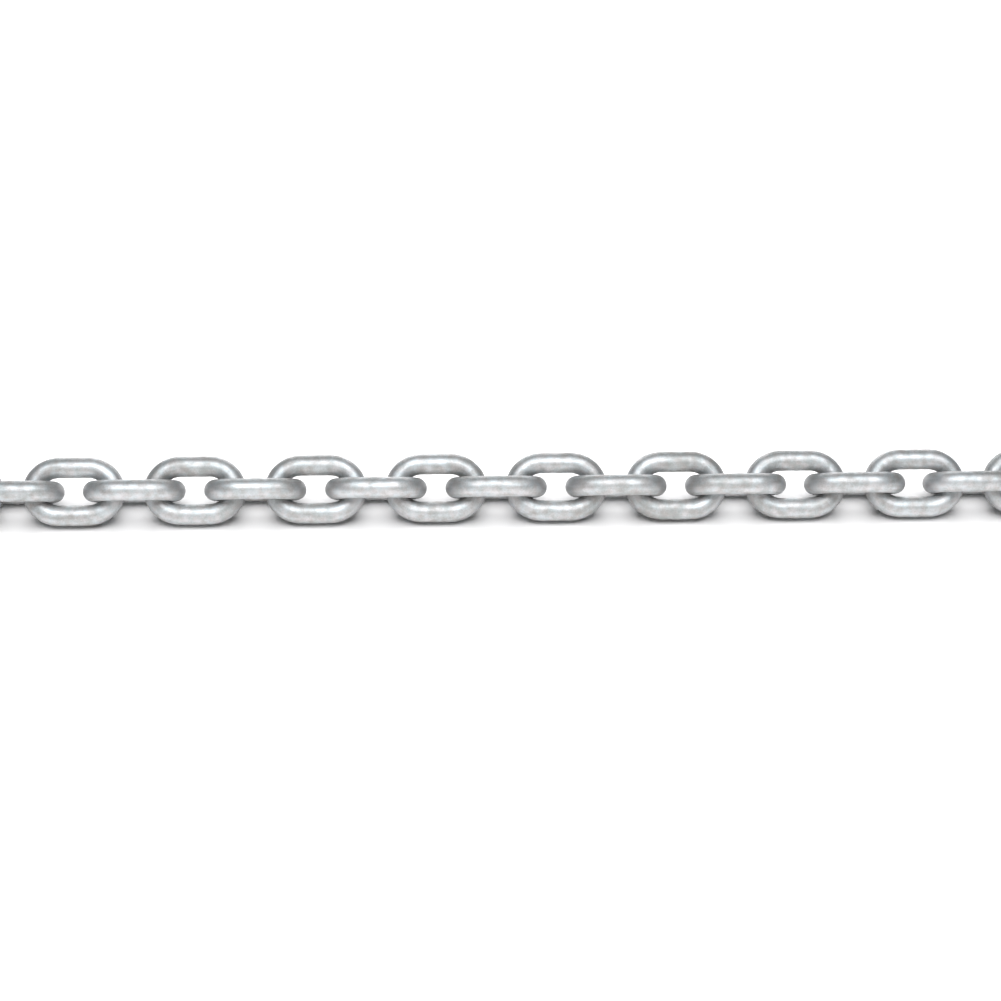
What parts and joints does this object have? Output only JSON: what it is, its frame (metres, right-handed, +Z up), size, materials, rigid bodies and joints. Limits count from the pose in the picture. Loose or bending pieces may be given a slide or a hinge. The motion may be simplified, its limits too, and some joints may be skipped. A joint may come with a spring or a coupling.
{
  "type": "straight length of short-link chain",
  "caption": "Straight length of short-link steel chain: closed oval wire links hooked through each other, pulled out along one line, each leaning on one leg. Hot-dip galvanised.",
  "frame": {"origin": "on the level floor, under the middle of the middle link", "axes": "+X along the chain, +Z up; links lean 45 degrees about X to alternate sides"},
  "size_m": [0.9836, 0.0208, 0.0208],
  "materials": {
    "galvanised_steel": "hot-dip galvanised, satin grey"
  },
  "bodies": {
    "link_01": {"link_01": "galvanised_steel"},
    "link_02": {"link_02": "galvanised_steel"},
    "link_03": {"link_03": "galvanised_steel"},
    "link_04": {"link_04": "galvanised_steel"},
    "link_05": {"link_05": "galvanised_steel"},
    "link_06": {"link_06": "galvanised_steel"},
    "link_07": {"link_07": "galvanised_steel"},
    "link_08": {"link_08": "galvanised_steel"},
    "link_09": {"link_09": "galvanised_steel"},
    "link_10": {"link_10": "galvanised_steel"},
    "link_11": {"link_11": "galvanised_steel"},
    "link_12": {"link_12": "galvanised_steel"},
    "link_13": {"link_13": "galvanised_steel"},
    "link_14": {"link_14": "galvanised_steel"},
    "link_15": {"link_15": "galvanised_steel"},
    "link_16": {"link_16": "galvanised_steel"},
    "link_17": {"link_17": "galvanised_steel"},
    "link_18": {"link_18": "galvanised_steel"},
    "link_19": {"link_19": "galvanised_steel"},
    "link_20": {"link_20": "galvanised_steel"},
    "link_21": {"link_21": "galvanised_steel"},
    "link_22": {"link_22": "galvanised_steel"},
    "link_23": {"link_23": "galvanised_steel"},
    "link_24": {"link_24": "galvanised_steel"},
    "link_25": {"link_25": "galvanised_steel"},
    "link_26": {"link_26": "galvanised_steel"},
    "link_27": {"link_27": "galvanised_steel"},
    "link_28": {"link_28": "galvanised_steel"},
    "link_29": {"link_29": "galvanised_steel"},
    "link_30": {"link_30": "galvanised_steel"},
    "link_31": {"link_31": "galvanised_steel"},
    "link_32": {"link_32": "galvanised_steel"},
    "link_33": {"link_33": "galvanised_steel"},
    "link_34": {"link_34": "galvanised_steel"},
    "link_35": {"link_35": "galvanised_steel"},
    "link_36": {"link_36": "galvanised_steel"},
    "link_37": {"link_37": "galvanised_steel"},
    "link_38": {"link_38": "galvanised_steel"},
    "link_39": {"link_39": "galvanised_steel"},
    "link_40": {"link_40": "galvanised_steel"},
    "link_41": {"link_41": "galvanised_steel"}
  },
  "joints": [
    {"name": "hinge_01_02", "type": "hinge", "parent": "link_02", "child": "link_01", "pos_m": [-0.4644, 0, 0.0104], "axis": [0, -0.7071, -0.7071], "range_deg": [-105, 105]},
    {"name": "hinge_02_03", "type": "hinge", "parent": "link_03", "child": "link_02", "pos_m": [-0.4408, 0, 0.0104], "axis": [0, -0.7071, 0.7071], "range_deg": [-105, 105]},
    {"name": "hinge_03_04", "type": "hinge", "parent": "link_04", "child": "link_03", "pos_m": [-0.4172, 0, 0.0104], "axis": [0, 0.7071, 0.7071], "range_deg": [-105, 105]},
    {"name": "hinge_04_05", "type": "hinge", "parent": "link_05", "child": "link_04", "pos_m": [-0.3936, 0, 0.0104], "axis": [0, 0.7071, -0.7071], "range_deg": [-105, 105]},
    {"name": "hinge_05_06", "type": "hinge", "parent": "link_06", "child": "link_05", "pos_m": [-0.37, 0, 0.0104], "axis": [0, -0.7071, -0.7071], "range_deg": [-105, 105]},
    {"name": "hinge_06_07", "type": "hinge", "parent": "link_07", "child": "link_06", "pos_m": [-0.3464, 0, 0.0104], "axis": [0, -0.7071, 0.7071], "range_deg": [-105, 105]},
    {"name": "hinge_07_08", "type": "hinge", "parent": "link_08", "child": "link_07", "pos_m": [-0.3228, 0, 0.0104], "axis": [0, 0.7071, 0.7071], "range_deg": [-105, 105]},
    {"name": "hinge_08_09", "type": "hinge", "parent": "link_09", "child": "link_08", "pos_m": [-0.2992, 0, 0.0104], "axis": [0, 0.7071, -0.7071], "range_deg": [-105, 105]},
    {"name": "hinge_09_10", "type": "hinge", "parent": "link_10", "child": "link_09", "pos_m": [-0.2756, 0, 0.0104], "axis": [0, -0.7071, -0.7071], "range_deg": [-105, 105]},
    {"name": "hinge_10_11", "type": "hinge", "parent": "link_11", "child": "link_10", "pos_m": [-0.252, 0, 0.0104], "axis": [0, -0.7071, 0.7071], "range_deg": [-105, 105]},
    {"name": "hinge_11_12", "type": "hinge", "parent": "link_12", "child": "link_11", "pos_m": [-0.2284, 0, 0.0104], "axis": [0, 0.7071, 0.7071], "range_deg": [-105, 105]},
    {"name": "hinge_12_13", "type": "hinge", "parent": "link_13", "child": "link_12", "pos_m": [-0.2048, 0, 0.0104], "axis": [0, 0.7071, -0.7071], "range_deg": [-105, 105]},
    {"name": "hinge_13_14", "type": "hinge", "parent": "link_14", "child": "link_13", "pos_m": [-0.1812, 0, 0.0104], "axis": [0, -0.7071, -0.7071], "range_deg": [-105, 105]},
    {"name": "hinge_14_15", "type": "hinge", "parent": "link_15", "child": "link_14", "pos_m": [-0.1576, 0, 0.0104], "axis": [0, -0.7071, 0.7071], "range_deg": [-105, 105]},
    {"name": "hinge_15_16", "type": "hinge", "parent": "link_16", "child": "link_15", "pos_m": [-0.134, 0, 0.0104], "axis": [0, 0.7071, 0.7071], "range_deg": [-105, 105]},
    {"name": "hinge_16_17", "type": "hinge", "parent": "link_17", "child": "link_16", "pos_m": [-0.1104, 0, 0.0104], "axis": [0, 0.7071, -0.7071], "range_deg": [-105, 105]},
    {"name": "hinge_17_18", "type": "hinge", "parent": "link_18", "child": "link_17", "pos_m": [-0.0868, 0, 0.0104], "axis": [0, -0.7071, -0.7071], "range_deg": [-105, 105]},
    {"name": "hinge_18_19", "type": "hinge", "parent": "link_19", "child": "link_18", "pos_m": [-0.0632, 0, 0.0104], "axis": [0, -0.7071, 0.7071], "range_deg": [-105, 105]},
    {"name": "hinge_19_20", "type": "hinge", "parent": "link_20", "child": "link_19", "pos_m": [-0.0396, 0, 0.0104], "axis": [0, 0.7071, 0.7071], "range_deg": [-105, 105]},
    {"name": "hinge_20_21", "type": "hinge", "parent": "link_21", "child": "link_20", "pos_m": [-0.016, 0, 0.0104], "axis": [0, 0.7071, -0.7071], "range_deg": [-105, 105]},
    {"name": "hinge_21_22", "type": "hinge", "parent": "link_21", "child": "link_22", "pos_m": [0.016, 0, 0.0104], "axis": [0, 0.7071, -0.7071], "range_deg": [-105, 105]},
    {"name": "hinge_22_23", "type": "hinge", "parent": "link_22", "child": "link_23", "pos_m": [0.0396, 0, 0.0104], "axis": [0, 0.7071, 0.7071], "range_deg": [-105, 105]},
    {"name": "hinge_23_24", "type": "hinge", "parent": "link_23", "child": "link_24", "pos_m": [0.0632, 0, 0.0104], "axis": [0, -0.7071, 0.7071], "range_deg": [-105, 105]},
    {"name": "hinge_24_25", "type": "hinge", "parent": "link_24", "child": "link_25", "pos_m": [0.0868, 0, 0.0104], "axis": [0, -0.7071, -0.7071], "range_deg": [-105, 105]},
    {"name": "hinge_25_26", "type": "hinge", "parent": "link_25", "child": "link_26", "pos_m": [0.1104, 0, 0.0104], "axis": [0, 0.7071, -0.7071], "range_deg": [-105, 105]},
    {"name": "hinge_26_27", "type": "hinge", "parent": "link_26", "child": "link_27", "pos_m": [0.134, 0, 0.0104], "axis": [0, 0.7071, 0.7071], "range_deg": [-105, 105]},
    {"name": "hinge_27_28", "type": "hinge", "parent": "link_27", "child": "link_28", "pos_m": [0.1576, 0, 0.0104], "axis": [0, -0.7071, 0.7071], "range_deg": [-105, 105]},
    {"name": "hinge_28_29", "type": "hinge", "parent": "link_28", "child": "link_29", "pos_m": [0.1812, 0, 0.0104], "axis": [0, -0.7071, -0.7071], "range_deg": [-105, 105]},
    {"name": "hinge_29_30", "type": "hinge", "parent": "link_29", "child": "link_30", "pos_m": [0.2048, 0, 0.0104], "axis": [0, 0.7071, -0.7071], "range_deg": [-105, 105]},
    {"name": "hinge_30_31", "type": "hinge", "parent": "link_30", "child": "link_31", "pos_m": [0.2284, 0, 0.0104], "axis": [0, 0.7071, 0.7071], "range_deg": [-105, 105]},
    {"name": "hinge_31_32", "type": "hinge", "parent": "link_31", "child": "link_32", "pos_m": [0.252, 0, 0.0104], "axis": [0, -0.7071, 0.7071], "range_deg": [-105, 105]},
    {"name": "hinge_32_33", "type": "hinge", "parent": "link_32", "child": "link_33", "pos_m": [0.2756, 0, 0.0104], "axis": [0, -0.7071, -0.7071], "range_deg": [-105, 105]},
    {"name": "hinge_33_34", "type": "hinge", "parent": "link_33", "child": "link_34", "pos_m": [0.2992, 0, 0.0104], "axis": [0, 0.7071, -0.7071], "range_deg": [-105, 105]},
    {"name": "hinge_34_35", "type": "hinge", "parent": "link_34", "child": "link_35", "pos_m": [0.3228, 0, 0.0104], "axis": [0, 0.7071, 0.7071], "range_deg": [-105, 105]},
    {"name": "hinge_35_36", "type": "hinge", "parent": "link_35", "child": "link_36", "pos_m": [0.3464, 0, 0.0104], "axis": [0, -0.7071, 0.7071], "range_deg": [-105, 105]},
    {"name": "hinge_36_37", "type": "hinge", "parent": "link_36", "child": "link_37", "pos_m": [0.37, 0, 0.0104], "axis": [0, -0.7071, -0.7071], "range_deg": [-105, 105]},
    {"name": "hinge_37_38", "type": "hinge", "parent": "link_37", "child": "link_38", "pos_m": [0.3936, 0, 0.0104], "axis": [0, 0.7071, -0.7071], "range_deg": [-105, 105]},
    {"name": "hinge_38_39", "type": "hinge", "parent": "link_38", "child": "link_39", "pos_m": [0.4172, 0, 0.0104], "axis": [0, 0.7071, 0.7071], "range_deg": [-105, 105]},
    {"name": "hinge_39_40", "type": "hinge", "parent": "link_39", "child": "link_40", "pos_m": [0.4408, 0, 0.0104], "axis": [0, -0.7071, 0.7071], "range_deg": [-105, 105]},
    {"name": "hinge_40_41", "type": "hinge", "parent": "link_40", "child": "link_41", "pos_m": [0.4644, 0, 0.0104], "axis": [0, -0.7071, -0.7071], "range_deg": [-105, 105]}
  ]
}
